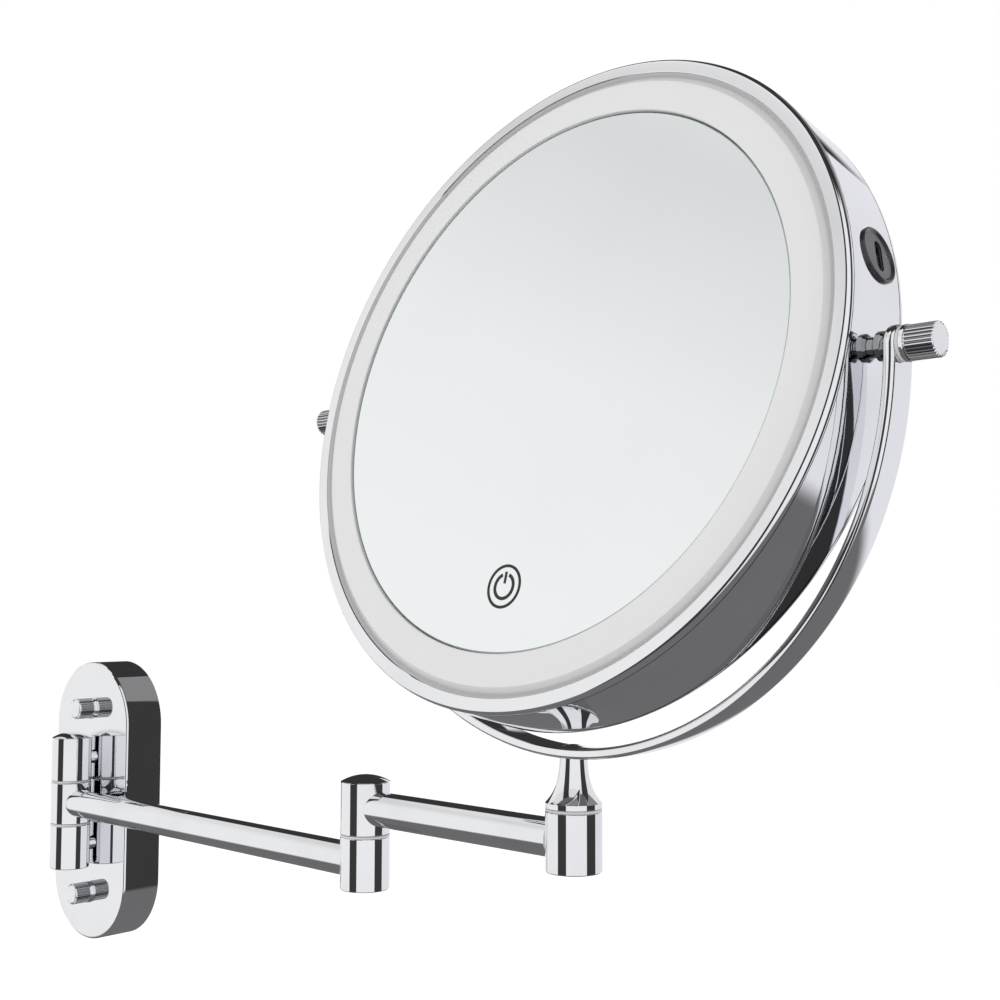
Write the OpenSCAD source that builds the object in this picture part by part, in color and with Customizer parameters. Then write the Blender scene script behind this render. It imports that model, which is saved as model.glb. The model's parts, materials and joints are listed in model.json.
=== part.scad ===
// Extendable wall mirror with a lit, two-sided round head on a swinging arm.
// Millimetres, +Z up. The wall is the plane y = 0 and the room lies towards -Y.
// The origin is the centre of the wall plate's back face.

/* [Wall plate] */
// Width of the wall cover
cover_w = 58; // [56:1:66]
// Height of the wall cover
cover_h = 129; // [126:1:136]
// Depth of the wall cover
cover_d = 18.8; // [16:0.2:20]
// Rounding of the cover's front edge
cover_edge = 1.2; // [0.8:0.1:1.5]
// Distance from the cover's front face to the wall hinge axis
hinge_gap = 10.2; // [10:0.1:13]
// Height of each thumb nut above or below the middle
stud_z = 42.9; // [42:0.1:44]

/* [Arms] */
// Length of the inner arm, hinge axis to elbow axis
inner_len = 214.8; // [190:0.1:240]
// Length of the outer arm, elbow axis to swivel axis
outer_len = 101.7; // [95:0.1:115]
// Radius of the arm tubes
tube_r = 6.2; // [5.6:0.1:6.4]
// Radius of the joint cylinders
joint_r = 9; // [9:0.1:9.4]
// Height of one joint segment
seg_h = 18.8; // [18.6:0.1:19.2]
// Angle of the inner arm away from the wall
arm_swing = 4; // [4:1:90]

/* [Yoke] */
// Inside radius of the half-ring band
band_ri = 113.1; // [112.6:0.1:114]
// Thickness of the band
band_t = 3.4; // [3:0.1:3.6]
// Width of the band
band_w = 10.5; // [10:0.5:12]
// Height of the tilt axis above the inner arm
head_z = 161.9; // [160:0.1:165]

/* [Head] */
// Outside radius of the head
head_r = 108; // [107.6:0.1:108.2]
// Backward tilt of the head
head_tilt = 15; // [-60:1:60]
// Radius of the plain mirror
mirror_r = 89.7; // [88:0.1:89.8]
// Number of light-emitting diodes
led_count = 40; // [24:4:48]
// Depth of the curved mirror's hollow
rear_dish = 5.1; // [1:0.1:5.4]

/* [Hidden] */
$fn = 96;
washer_t = 0.8;                          // thickness of a joint washer
run_gap = 0.05;                          // play between turning faces and in bores
pitch = seg_h + washer_t;                // height from one joint segment to the next
edge_c = 0.3;                            // chamfer on joint cylinders
knuckle_y = cover_d + hinge_gap;         // wall to hinge axis
knuckle_h = 19.8;                        // height of the knuckle's end segments
knuckle_z0 = seg_h / 2 + washer_t;       // inner face of the knuckle's end segments
knuckle_z1 = knuckle_z0 + knuckle_h;     // outer face of the knuckle's end segments
neck_z = knuckle_z0 + knuckle_h / 2;     // height of the knuckle's necks
neck_r = 3.2;
cover_t = 1.6;                           // sheet thickness of the cover
bracket_t = 3;
bracket_w = cover_w - 8;
bracket_h = cover_h - 9;
wall_hole_z = 32;                        // wall screws, above and below the middle
wall_hole_r = 2.6;
stud_r = 2.4;
stud_len = 25;
nut_collar = 1;
nut_len = 8.8;
nut_r = 4.7;
nut_teeth = 28;
pin_r = 3;
pin_head_r = 4.4;
cbore_r = 5;                             // counterbore for a pin's head
pin_head_in = 5;                         // floor of that counterbore, below the top
pin_low = 16.8;                          // depth of the wall pin in the lower knuckle
pin_floor = 2.4;                         // metal left under the elbow pin
neck_hole_r = 1.9;                       // screws into the necks
neck_screw_in = 11;                      // and their depth
cap_h = 2.4;                             // rise of the domed caps
tube_in = 5.2;                           // hinge axis to the inner end of a tube
tube_t = 1;                              // tube wall
elbow_z0 = seg_h / 2 + washer_t;         // underside of the elbow's upper half
elbow_z1 = elbow_z0 + seg_h;             // top of the elbow's upper half
socket_in = 7.3;                         // swivel axis to the end of the outer tube
socket_cb_r = 6.9;                       // counterbore in the bottom of the socket
socket_cb_z = elbow_z0 + 7.8;            // floor of that counterbore
shank_r = 4;                             // spindle in the socket
nut_z0 = elbow_z0 + 2.7;                 // spindle nut in the counterbore
nut_h = 3.4;
shank_z0 = socket_cb_z - run_gap;         // shoulder that the spring washer bears on
spindle_z0 = elbow_z1 + washer_t;        // underside of the spindle's base
spindle_rim = 1.8;                       // straight rim of the spindle's base
spindle_neck = 4.1;                      // radius that the flare runs out to
flare_k = 4.8;                           // length over which the flare fades
band_ro = band_ri + band_t;
band_edge = 1.1;                         // rounding of the band's edges
band_low = head_z - band_ro;             // lowest point of the band
thread_r = 2.5;                          // pivot screws
pivot_hole = thread_r + run_gap;
yoke_screw_r = 2;
wall_t = 1.5;                            // drum wall
drum_ri = head_r - wall_t;
drum_z = 12;                             // half depth of the drum wall
seam = 0.3;                              // groove between drum and bezel
bezel_ri = head_r - 5.4;                 // opening of the bezels
skirt_ro = drum_ri - 0.1;
skirt_ri = skirt_ro - 1.1;
skirt_z = 9;                             // inner end of a bezel's skirt
lip_z = 13.4;                            // underside of a bezel's lip
glass_t = 3;
mirror_z = 13.7;                         // face of the plain mirror
tray_z0 = 6.5;
tray_z1 = 8.5;
post_r = 102.4;                           // circle of the screw posts
post_n = 6;
post_hole_r = 1.2;
carrier_z = -lip_z + glass_t;            // rear carrier's outer face
carrier_t = 2;
usb_ang = 15.3;                          // charging port, round the drum from the right pivot
usb_z = -1.7;                            // and along the drum's axis
usb_r = 8.3;
usb_body_r = 6.5;
usb_in = 98;                             // inner end of the port's body, from the drum's axis
usb_seat = head_r - 0.6;                 // its flat seat in the drum wall
usb_slot = 0.5;                          // slot, off the port's centre
usb_pin = [5.2, 2.3];                    // charge light, off the port's centre
usb_pin_r = 0.55;
touch_y = -69;                           // touch switch, below the middle of the mirror
spacer_len = 4.9;
pivot_washer_t = 0.9;
knob_x0 = band_ro + pivot_washer_t;      // inner face of a knob's collar
knob_collar = 1.25;
knob_len = 9.7;
knob_r = 4.8;
knob_teeth = 24;

// ---- helpers ----

// Points on an arc about c, from angle a0 to a1, in n steps
function arc(c, r, a0, a1, n) =
    [for (i = [0:n]) let (a = a0 + (a1 - a0) * i / n) [c[0] + r * cos(a), c[1] + r * sin(a)]];

// Radius of a sphere whose cap has base radius r and height h
function cap_radius(r, h) = (r * r + h * h) / (2 * h);

// Height of that cap at distance x from its axis
function cap_rise(r, h, x) =
    let (s = cap_radius(r, h)) sqrt(s * s - x * x) - (s - h);

// Wall frame: local x is the row's X, local y is up, local z points into the room
module wall_frame() { rotate([90, 0, 0]) children(); }

// Wall hinge axis, square to the wall
module at_knuckle() { translate([0, -knuckle_y, 0]) children(); }

// Inner arm: x runs along the arm from the hinge axis
module at_arm() { at_knuckle() rotate([0, 0, -arm_swing]) children(); }

module at_elbow() { at_arm() translate([inner_len, 0, 0]) children(); }

module at_yoke() { at_elbow() translate([outer_len, 0, 0]) children(); }

module at_pivot() { at_yoke() translate([0, 0, head_z]) children(); }

// Head: x is the tilt axis, y is up the mirror, z comes out of the plain mirror
module at_head() { at_pivot() rotate([90 - head_tilt, 0, 0]) children(); }

// Children on the right, and mirrored on the left
module both_sides() {
    children();
    mirror([1, 0, 0]) children();
}

module along_x() { rotate([0, 90, 0]) children(); }

// Ring between two radii
module ring(ro, ri, h) {
    difference() {
        cylinder(r = ro, h = h);
        translate([0, 0, -1]) cylinder(r = ri, h = h + 2);
    }
}

// Upright block with half-round ends and a rounded front edge
module obround(w, h, d, e) {
    half = concat([[0, 0], [w / 2, 0]], arc([w / 2 - e, d - e], e, 0, 90, 5), [[0, d]]);
    full = concat([[-w / 2, 0], [w / 2, 0]], arc([w / 2 - e, d - e], e, 0, 90, 5),
        arc([e - w / 2, d - e], e, 90, 180, 5));
    for (s = [-1, 1])
        translate([0, s * (h - w) / 2, 0]) rotate_extrude() polygon(half);
    translate([0, (h - w) / 2, 0]) rotate([90, 0, 0]) linear_extrude(h - w) polygon(full);
}

// Flat plate with half-round ends
module slot_plate(w, h, t) {
    for (s = [-1, 1]) translate([0, s * (h - w) / 2, 0]) cylinder(r = w / 2, h = t);
    translate([-w / 2, -(h - w) / 2, 0]) cube([w, h - w, t]);
}

// Joint cylinder with chamfered edges
module segment(z0, h, r = joint_r) {
    c = edge_c;
    rotate_extrude()
        polygon([[0, z0], [r - c, z0], [r, z0 + c], [r, z0 + h - c], [r - c, z0 + h], [0, z0 + h]]);
}

// Domed cap on a plug
module domed_cap(z, plug) {
    steps = 10;
    dome = [for (i = [0:steps]) let (x = joint_r * (1 - i / steps))
        [x, z + cap_rise(joint_r, cap_h, x)]];
    rotate_extrude() polygon(concat([[0, z]], dome));
    translate([0, 0, z - plug]) cylinder(r = cbore_r, h = plug);
}

// Straight-knurled bar
module knurl(r, h, teeth) {
    depth = 0.35;
    linear_extrude(h) polygon([for (i = [0:2 * teeth - 1])
        let (a = i * 180 / teeth, q = i % 2 == 0 ? r : r - depth) [q * cos(a), q * sin(a)]]);
}

// Collar with small chamfers
module collar(r, h) {
    c = 0.25;
    rotate_extrude() polygon([[0, 0], [r - c, 0], [r, c], [r, h - c], [r - c, h], [0, h]]);
}

// Hexagon socket in a screw's head
module hex_socket(r, z, depth) { translate([0, 0, z - depth]) cylinder(r = r, h = depth + 1, $fn = 6); }

// ---- fixed to the wall ----

module wall_bracket() {
    color("silver") wall_frame() difference() {
        slot_plate(bracket_w, bracket_h, bracket_t);
        for (s = [-1, 1]) {
            translate([0, s * wall_hole_z, -1]) cylinder(r = wall_hole_r, h = bracket_t + 2);
            translate([0, s * stud_z, -1]) cylinder(r = stud_r, h = bracket_t + 2);
            translate([0, s * neck_z, 0]) {
                translate([0, 0, -1]) cylinder(r = neck_hole_r, h = bracket_t + 2);
                cylinder(r1 = 2 * neck_hole_r, r2 = neck_hole_r, h = neck_hole_r);
            }
        }
    }
}

module cover_studs() {
    color("gainsboro") wall_frame() for (s = [-1, 1]) translate([0, s * stud_z, 0]) {
        cylinder(r = stud_r, h = stud_len);
        translate([0, 0, bracket_t]) cylinder(r = 4.2, h = 1.5);
    }
}

module wall_cover() {
    color("whitesmoke") wall_frame() difference() {
        obround(cover_w, cover_h, cover_d, cover_edge);
        translate([0, 0, -1])
            slot_plate(cover_w - 2 * cover_t, cover_h - 2 * cover_t, cover_d - cover_t + 1);
        for (s = [-1, 1]) {
            translate([0, s * neck_z, 0]) cylinder(r = neck_r, h = cover_d + 1);
            translate([0, s * stud_z, 0]) cylinder(r = stud_r, h = cover_d + 1);
        }
    }
}

module cover_nuts() {
    color("whitesmoke") wall_frame() for (s = [-1, 1]) translate([0, s * stud_z, cover_d])
        difference() {
            union() {
                collar(nut_r + 0.3, nut_collar);
                knurl(nut_r, nut_len, nut_teeth);
            }
            translate([0, 0, -1]) cylinder(r = stud_r, h = stud_len - cover_d + 1);
        }
}

// One end of the knuckle with its neck to the bracket; up = 1 is the top
module knuckle_end(up) {
    at_knuckle() mirror([0, 0, up > 0 ? 0 : 1]) difference() {
        union() {
            segment(knuckle_z0, knuckle_h);
            translate([0, 0, neck_z]) rotate([-90, 0, 0])
                cylinder(r = neck_r, h = knuckle_y - bracket_t);
        }
        translate([0, 0, knuckle_z0 - 1]) cylinder(r = pin_r, h = up > 0 ? 30 : pin_low + 1);
        if (up > 0) translate([0, 0, knuckle_z1 - pin_head_in]) cylinder(r = cbore_r, h = 6);
        translate([0, knuckle_y - bracket_t - neck_screw_in, neck_z]) rotate([-90, 0, 0])
            cylinder(r = neck_hole_r, h = neck_screw_in + 1);
    }
}

module knuckle_top() { color("whitesmoke") knuckle_end(1); }

module knuckle_bottom() { color("whitesmoke") knuckle_end(-1); }

module knuckle_cap() { color("whitesmoke") at_knuckle() domed_cap(knuckle_z1, 2); }

module knuckle_screws() {
    color("silver") wall_frame() for (s = [-1, 1]) translate([0, s * neck_z, 0]) difference() {
        union() {
            cylinder(r = neck_hole_r, h = bracket_t + neck_screw_in);
            translate([0, 0, 0.1])
                cylinder(r1 = 2 * neck_hole_r - 0.1, r2 = neck_hole_r, h = neck_hole_r - 0.1);
        }
        translate([0, 0, -0.9]) cylinder(r = 1.2, h = 2.2, $fn = 6);
    }
}

module wall_hinge_pin() {
    top = knuckle_z1 - pin_head_in;
    low = -knuckle_z0 - pin_low;
    color("silver") at_knuckle() difference() {
        union() {
            translate([0, 0, low]) cylinder(r = pin_r, h = top - low);
            translate([0, 0, top]) cylinder(r = pin_head_r, h = 2.3);
        }
        hex_socket(1.7, top + 2.3, 1.6);
    }
}

module knuckle_washers() {
    color("lightgray") at_knuckle() for (s = [0, 1]) mirror([0, 0, s])
        translate([0, 0, seg_h / 2 + run_gap])
            ring(joint_r - 0.1, pin_r, washer_t - run_gap);
}

// ---- inner arm ----

module inner_arm_hub() {
    color("whitesmoke") at_arm() difference() {
        segment(-seg_h / 2, seg_h);
        translate([0, 0, -seg_h]) cylinder(r = pin_r + run_gap, h = 2 * seg_h);
        translate([tube_in, 0, 0]) along_x() cylinder(r = tube_r, h = joint_r);
    }
}

module inner_arm_tube() {
    color("whitesmoke") at_arm() translate([tube_in, 0, 0]) along_x()
        ring(tube_r, tube_r - tube_t, inner_len - 2 * tube_in);
}

module elbow_bottom() {
    color("whitesmoke") at_elbow() difference() {
        segment(-seg_h / 2, seg_h);
        translate([0, 0, -seg_h / 2 + pin_floor]) cylinder(r = pin_r, h = seg_h);
        translate([-tube_in - joint_r, 0, 0]) along_x() cylinder(r = tube_r, h = joint_r);
    }
}

module elbow_pin() {
    top = elbow_z1 - pin_head_in + run_gap;
    low = -seg_h / 2 + pin_floor;
    color("silver") at_elbow() difference() {
        union() {
            translate([0, 0, low]) cylinder(r = pin_r, h = top - low);
            translate([0, 0, top]) cylinder(r = pin_head_r, h = 2.2);
        }
        hex_socket(1.7, top + 2.2, 1.5);
    }
}

module elbow_washer() {
    color("lightgray") at_elbow() translate([0, 0, seg_h / 2])
        ring(joint_r - 0.1, pin_r, washer_t - run_gap);
}

// ---- outer arm ----

module elbow_top() {
    color("whitesmoke") at_elbow() difference() {
        segment(elbow_z0, seg_h);
        translate([0, 0, elbow_z0 - 1]) cylinder(r = pin_r + run_gap, h = seg_h);
        translate([0, 0, elbow_z1 - pin_head_in]) cylinder(r = cbore_r, h = 6);
        translate([tube_in, 0, pitch]) along_x() cylinder(r = tube_r, h = joint_r);
    }
}

module elbow_cap() { color("whitesmoke") at_elbow() domed_cap(elbow_z1, 2); }

module outer_arm_tube() {
    color("whitesmoke") at_elbow() translate([tube_in, 0, pitch]) along_x()
        ring(tube_r, tube_r - tube_t, outer_len - tube_in - socket_in);
}

module swivel_socket() {
    color("whitesmoke") at_yoke() difference() {
        segment(elbow_z0, seg_h);
        translate([0, 0, elbow_z0]) cylinder(r = shank_r + run_gap, h = seg_h + 1);
        translate([0, 0, elbow_z0 - 1]) cylinder(r = socket_cb_r, h = socket_cb_z - elbow_z0 + 1);
        translate([-socket_in - joint_r, 0, pitch]) along_x() cylinder(r = tube_r, h = joint_r);
    }
}

module swivel_washer() {
    color("lightgray") at_yoke() translate([0, 0, elbow_z1])
        ring(joint_r - 0.1, shank_r + run_gap, washer_t - run_gap);
}

module socket_plug() {
    color("dimgray") at_yoke() translate([0, 0, elbow_z0]) cylinder(r = socket_cb_r, h = 1.6);
}

// ---- yoke ----

module yoke_spindle() {
    rim = spindle_z0 + spindle_rim;
    rise = band_low - rim;
    n = 16;
    flare = [for (i = [0:n]) let (z = rise * i / n)
        [spindle_neck + (joint_r - spindle_neck) * exp(-z / flare_k), rim + z]];
    top = [[spindle_neck, band_low + 1], [0, band_low + 1]];
    color("whitesmoke") at_yoke() difference() {
        union() {
            rotate_extrude() polygon(concat([[0, spindle_z0], [joint_r, spindle_z0]], flare, top));
            translate([0, 0, shank_z0]) cylinder(r = shank_r, h = spindle_z0 - shank_z0);
            translate([0, 0, elbow_z0 + 2.2]) cylinder(r = pin_r, h = 8);
        }
        translate([0, 0, head_z]) rotate([90, 0, 0])
            cylinder(r = band_ro, h = 40, center = true, $fn = 360);
        translate([0, 0, band_low - 10]) cylinder(r = yoke_screw_r, h = 12);
    }
}

module spindle_nut() {
    color("silver") at_yoke() translate([0, 0, nut_z0]) difference() {
        cylinder(r = 5.7, h = nut_h, $fn = 6);
        translate([0, 0, -1]) cylinder(r = pin_r, h = 6);
    }
}

module spindle_spring_washer() {
    z0 = nut_z0 + nut_h;
    color("silver") at_yoke() translate([0, 0, z0])
        ring(6.2, pin_r, shank_z0 - z0);
}

// Cross-section of the band: radius by width, with rounded edges
function band_section() =
    let (e = band_edge, w = band_w / 2) concat(
        arc([band_ri + e, e - w], e, 270, 180, 4), arc([band_ri + e, w - e], e, 180, 90, 4),
        arc([band_ro - e, w - e], e, 90, 0, 4), arc([band_ro - e, e - w], e, 0, -90, 4));

module band_end() {
    e = band_edge;
    w = band_w / 2;
    tab = concat([[0, band_ri]], arc([w - e, band_ri + e], e, 270, 360, 4),
        arc([w - e, band_ro - e], e, 0, 90, 4), [[0, band_ro]]);
    along_x() rotate([0, 0, 90]) rotate_extrude(angle = 180) polygon(tab);
}

module yoke_band() {
    head = 3.8;
    color("whitesmoke") at_pivot() difference() {
        union() {
            rotate([-90, 0, 0]) rotate_extrude(angle = 180, $fn = 360) polygon(band_section());
            both_sides() band_end();
        }
        translate([-band_ro - 5, 0, 0]) along_x() cylinder(r = pivot_hole, h = 2 * band_ro + 10);
        translate([0, 0, -band_ro - 1]) cylinder(r = yoke_screw_r, h = band_t + 2);
        translate([0, 0, -band_ri - 1.8]) cylinder(r1 = yoke_screw_r, r2 = head, h = 1.8);
        translate([0, 0, -band_ri]) cylinder(r = head, h = 1);
    }
}

module yoke_screw() {
    head = 3.8;
    dome_r = 9;
    n = 6;
    dome = [for (i = [0:n]) let (x = head * (1 - i / n))
        [x, sqrt(dome_r * dome_r - x * x) - sqrt(dome_r * dome_r - head * head)]];
    color("whitesmoke") at_pivot() translate([0, 0, -band_ri]) difference() {
        union() {
            rotate_extrude() polygon(concat([[0, -0.01]], dome));
            translate([0, 0, -1.8]) cylinder(r1 = yoke_screw_r, r2 = head, h = 1.8);
            translate([0, 0, -band_t - 9]) cylinder(r = yoke_screw_r, h = band_t + 8);
        }
        for (a = [0, 90]) rotate([0, 0, a]) translate([-2, -0.35, -0.5]) cube([4, 0.7, 3]);
    }
}

module pivot_washers() {
    color("dimgray") at_pivot() both_sides() translate([band_ro, 0, 0]) along_x()
        ring(knob_r, pivot_hole, pivot_washer_t - run_gap);
}

// ---- head ----

// Children at each screw post
module at_posts() {
    for (i = [0:post_n - 1]) rotate([0, 0, 30 + i * 360 / post_n])
        translate([post_r, 0, 0]) children();
}

// Children at the charging port, with z pointing out of the drum
module at_port() { rotate([0, 0, usb_ang]) translate([0, 0, usb_z]) along_x() children(); }

module drum() {
    post = 2.6;
    web = drum_ri - post_r - 0.5;
    color("whitesmoke") at_head() difference() {
        union() {
            translate([0, 0, -drum_z]) difference() {
                cylinder(r = head_r, h = 2 * drum_z, $fn = 240);
                translate([0, 0, -1]) cylinder(r = drum_ri, h = 2 * drum_z + 2, $fn = 240);
            }
            at_posts() {
                translate([0, 0, carrier_z + carrier_t])
                    cylinder(r = post, h = tray_z0 - carrier_z - carrier_t, $fn = 32);
                translate([1, -1, 0.7 - skirt_z]) cube([web, 2, tray_z0 + skirt_z - 0.7]);
            }
        }
        at_posts() translate([0, 0, -drum_z]) cylinder(r = post_hole_r, h = 2 * drum_z, $fn = 24);
        translate([-head_r - 1, 0, 0]) along_x() cylinder(r = pivot_hole, h = 2 * head_r + 2);
        at_port() translate([0, 0, 90]) cylinder(r = usb_body_r, h = 30);
        at_port() translate([0, 0, usb_seat]) cylinder(r = usb_r, h = 10);
    }
}

// Rim with a nearly flat face, a rounded edge and a skirt inside the drum
module bezel() {
    e = 1;
    top = lip_z + 0.8;
    section = concat([[bezel_ri, lip_z], [bezel_ri, top - 0.2], [bezel_ri + 0.2, top]],
        arc([head_r - e, top - 0.25 - e], e, 90, 0, 6),
        [[head_r, drum_z + seam], [skirt_ro, drum_z + seam], [skirt_ro, skirt_z],
        [skirt_ri, skirt_z], [skirt_ri, lip_z]]);
    rotate_extrude($fn = 240) polygon(section);
}

module front_bezel() { color("whitesmoke") at_head() bezel(); }

module rear_bezel() { color("whitesmoke") at_head() mirror([0, 0, 1]) bezel(); }

module front_mirror() {
    c = 0.5;
    r = mirror_r;
    color("lightsteelblue") at_head() rotate_extrude($fn = 240)
        polygon([[0, mirror_z - glass_t], [r, mirror_z - glass_t], [r, mirror_z - c],
            [r - c, mirror_z], [0, mirror_z]]);
}

module light_ring() {
    ri = mirror_r + 0.3;
    ro = skirt_ri - 0.1;
    edge = bezel_ri - 0.1;
    leg = 1.2;
    out = 100;
    top = lip_z + 1.2;
    web = 12.4;
    color("white") at_head() rotate_extrude($fn = 240)
        polygon([[ri, tray_z1], [ri + leg, tray_z1], [ri + leg, web], [out - leg, web],
            [out - leg, tray_z1], [out, tray_z1], [out, web], [ro, web], [ro, lip_z],
            [edge, lip_z], [edge, lip_z + 0.3], [edge - 1.3, top - 0.2], [edge - 2.2, top],
            [ri + 0.4, top], [ri, top - 0.4]]);
}

module led_board() {
    color("white") at_head() translate([0, 0, tray_z1]) ring(98.6, mirror_r + 1.7, 1);
}

module leds() {
    color("khaki") at_head() for (i = [0:led_count - 1]) rotate([0, 0, (i + 0.5) * 360 / led_count])
        translate([93.2, -1.4, tray_z1 + 1]) cube([3.5, 2.8, 0.8]);
}

module mirror_tray() {
    pad_ri = 80;
    color("gray") at_head() difference() {
        union() {
            translate([0, 0, tray_z0]) cylinder(r = drum_ri - 0.2, h = tray_z1 - tray_z0, $fn = 240);
            translate([0, 0, tray_z1]) ring(mirror_r - 0.1, pad_ri, mirror_z - glass_t - tray_z1);
            translate([0, 0, tray_z1]) cylinder(r = 20, h = mirror_z - glass_t - tray_z1);
            translate([0, touch_y, tray_z1]) cylinder(r = 9, h = mirror_z - glass_t - tray_z1 - 0.5);
            for (x = [-20, 20], y = [42, 62])
                translate([x, y, 5.2]) cylinder(r = 2, h = 2, $fn = 24);
        }
        at_posts() translate([0, 0, tray_z0 - 1]) cylinder(r = 1.3, h = 4, $fn = 24);
        translate([0, 0, tray_z0 - 1]) cylinder(r = 12, h = 8);
    }
}

module power_symbol() {
    line = 0.9;
    bold = 1.05;
    t = 0.1;
    color("dimgray") at_head() translate([0, touch_y, mirror_z]) {
        ring(6.9, 6.9 - line, t);
        difference() {
            ring(4.3, 4.3 - bold, t);
            translate([0, 0, -1]) linear_extrude(3) polygon([[0, 0], [-2.3, 6], [2.3, 6]]);
        }
        translate([-line / 2, 0.9, 0]) cube([line, 3.7, t]);
    }
}

module touch_pad() {
    color("darkgreen") at_head() translate([0, touch_y, mirror_z - glass_t - 0.5])
        cylinder(r = 8, h = 0.5);
}

module control_board() {
    color("darkgreen") at_head() {
        translate([-25, 37, 4]) cube([50, 30, 1.2]);
        translate([-12, 44, 2.4]) cube([9, 9, 1.6]);
        translate([4, 46, 1]) cube([10, 7, 3]);
        translate([14, 58, 2.8]) cube([6, 4, 1.2]);
    }
}

module battery() {
    color("silver") at_head() translate([-30, -52, -1.5]) cube([60, 80, tray_z0 + 1.5]);
}

module usb_insert() {
    face = head_r + 0.2;
    section = [[0, usb_in], [usb_body_r, usb_in], [usb_body_r, usb_seat], [usb_r, usb_seat],
        [usb_r, face + 0.3], [usb_r - 0.3, face + 0.6], [usb_r - 0.6, face + 0.6],
        [usb_r - 1.5, face], [0, face]];
    color("black") at_head() at_port() difference() {
        rotate_extrude() polygon(section);
        translate([usb_slot, 0, usb_in - 1]) slot_plate(3.7, 9.6, 20);
        translate([usb_pin[0], usb_pin[1], usb_in - 1]) cylinder(r = usb_pin_r, h = 20, $fn = 24);
    }
}

module usb_socket() {
    deep = usb_in + 2;
    color("silver") at_head() at_port() translate([usb_slot, 0, deep]) {
        difference() {
            slot_plate(3.7, 9.6, 7.6);
            translate([0, 0, 0.6]) slot_plate(3, 8.9, 8);
        }
        translate([-0.35, -3.2, 0.3]) cube([0.7, 6.4, 5.7]);
    }
}

module charge_light() {
    color("ivory") at_head() at_port() translate([usb_pin[0], usb_pin[1], usb_in])
        cylinder(r = usb_pin_r, h = head_r - usb_in, $fn = 24);
}

module rear_mirror() {
    r = skirt_ri - 0.1;
    flat = 96.5;
    n = 24;
    face = [for (i = [0:n]) let (x = r * (1 - i / n))
        [x, -lip_z + cap_rise(r, rear_dish, x)]];
    dome = [for (i = [0:n]) let (x = flat * i / n)
        [x, -lip_z + glass_t + cap_rise(r, rear_dish, x)]];
    back = concat(dome, [[flat, carrier_z], [r, carrier_z]]);
    color("lightsteelblue") at_head() rotate_extrude($fn = 240) polygon(concat(face, back));
}

module rear_carrier() {
    color("gray") at_head() difference() {
        translate([0, 0, carrier_z]) ring(skirt_ri - 0.1, 97, carrier_t);
        at_posts() translate([0, 0, carrier_z]) {
            translate([0, 0, -1]) cylinder(r = post_hole_r, h = 4, $fn = 24);
            cylinder(r1 = 2.3, r2 = post_hole_r, h = 1.1, $fn = 24);
        }
    }
}

module pivot_bosses() {
    color("silver") at_head() both_sides() difference() {
        intersection() {
            translate([96, 0, 0]) along_x() cylinder(r = 6, h = 14);
            cylinder(r = drum_ri, h = 20, center = true, $fn = 240);
        }
        translate([95, 0, 0]) along_x() cylinder(r = pivot_hole, h = 16);
    }
}

module pivot_spacers() {
    bead = 4;
    flats = 12;
    color("whitesmoke") at_head() both_sides() translate([head_r, 0, 0]) along_x() difference() {
        union() {
            cylinder(r = 2.9, h = spacer_len);
            intersection() {
                translate([0, 0, 1]) cylinder(r = bead / cos(180 / flats), h = 3.2, $fn = flats);
                rotate_extrude() polygon([[0, 1], [3.2, 1], [bead + 0.1, 1.9], [bead + 0.1, 3.3],
                    [3.2, 4.2], [0, 4.2]]);
            }
        }
        translate([0, 0, -1]) cylinder(r = pivot_hole, h = spacer_len + 2);
    }
}

module frame_screws() {
    color("silver") at_head() at_posts() {
        translate([0, 0, 0.5]) cylinder(r = post_hole_r, h = tray_z1 - 0.5, $fn = 24);
        translate([0, 0, tray_z1]) cylinder(r = 2.2, h = 1.3, $fn = 24);
        translate([0, 0, carrier_z]) cylinder(r = post_hole_r, h = 8, $fn = 24);
        translate([0, 0, carrier_z]) cylinder(r1 = 2.3, r2 = post_hole_r, h = 1.1, $fn = 24);
    }
}

// Knurled knob with its collar and threaded shank
module pivot_knob() {
    translate([knob_x0, 0, 0]) along_x() {
        collar(knob_r + 0.25, knob_collar);
        knurl(knob_r, knob_len, knob_teeth);
    }
    translate([97, 0, 0]) along_x() cylinder(r = thread_r, h = knob_x0 - 97 + 1);
}

module pivot_knob_left() { color("whitesmoke") at_head() mirror([1, 0, 0]) pivot_knob(); }

module pivot_knob_right() { color("whitesmoke") at_head() pivot_knob(); }

wall_bracket();
cover_studs();
wall_cover();
cover_nuts();
knuckle_top();
knuckle_bottom();
knuckle_cap();
knuckle_screws();
wall_hinge_pin();
knuckle_washers();
inner_arm_hub();
inner_arm_tube();
elbow_bottom();
elbow_pin();
elbow_washer();
elbow_top();
elbow_cap();
outer_arm_tube();
swivel_socket();
swivel_washer();
socket_plug();
yoke_spindle();
spindle_nut();
spindle_spring_washer();
yoke_band();
yoke_screw();
pivot_washers();
drum();
front_bezel();
front_mirror();
light_ring();
led_board();
leds();
mirror_tray();
power_symbol();
touch_pad();
control_board();
battery();
usb_insert();
usb_socket();
charge_light();
rear_bezel();
rear_mirror();
rear_carrier();
pivot_bosses();
pivot_spacers();
frame_screws();
pivot_knob_left();
pivot_knob_right();
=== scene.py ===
"""Looks of a wall-mounted lit mirror on a folding arm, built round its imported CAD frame."""

import json
import math

import bmesh
import bpy
from bpy.props import FloatProperty, FloatVectorProperty, IntProperty, PointerProperty
from bpy.types import Operator, Panel, PropertyGroup
from mathutils import Matrix, Vector


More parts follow.
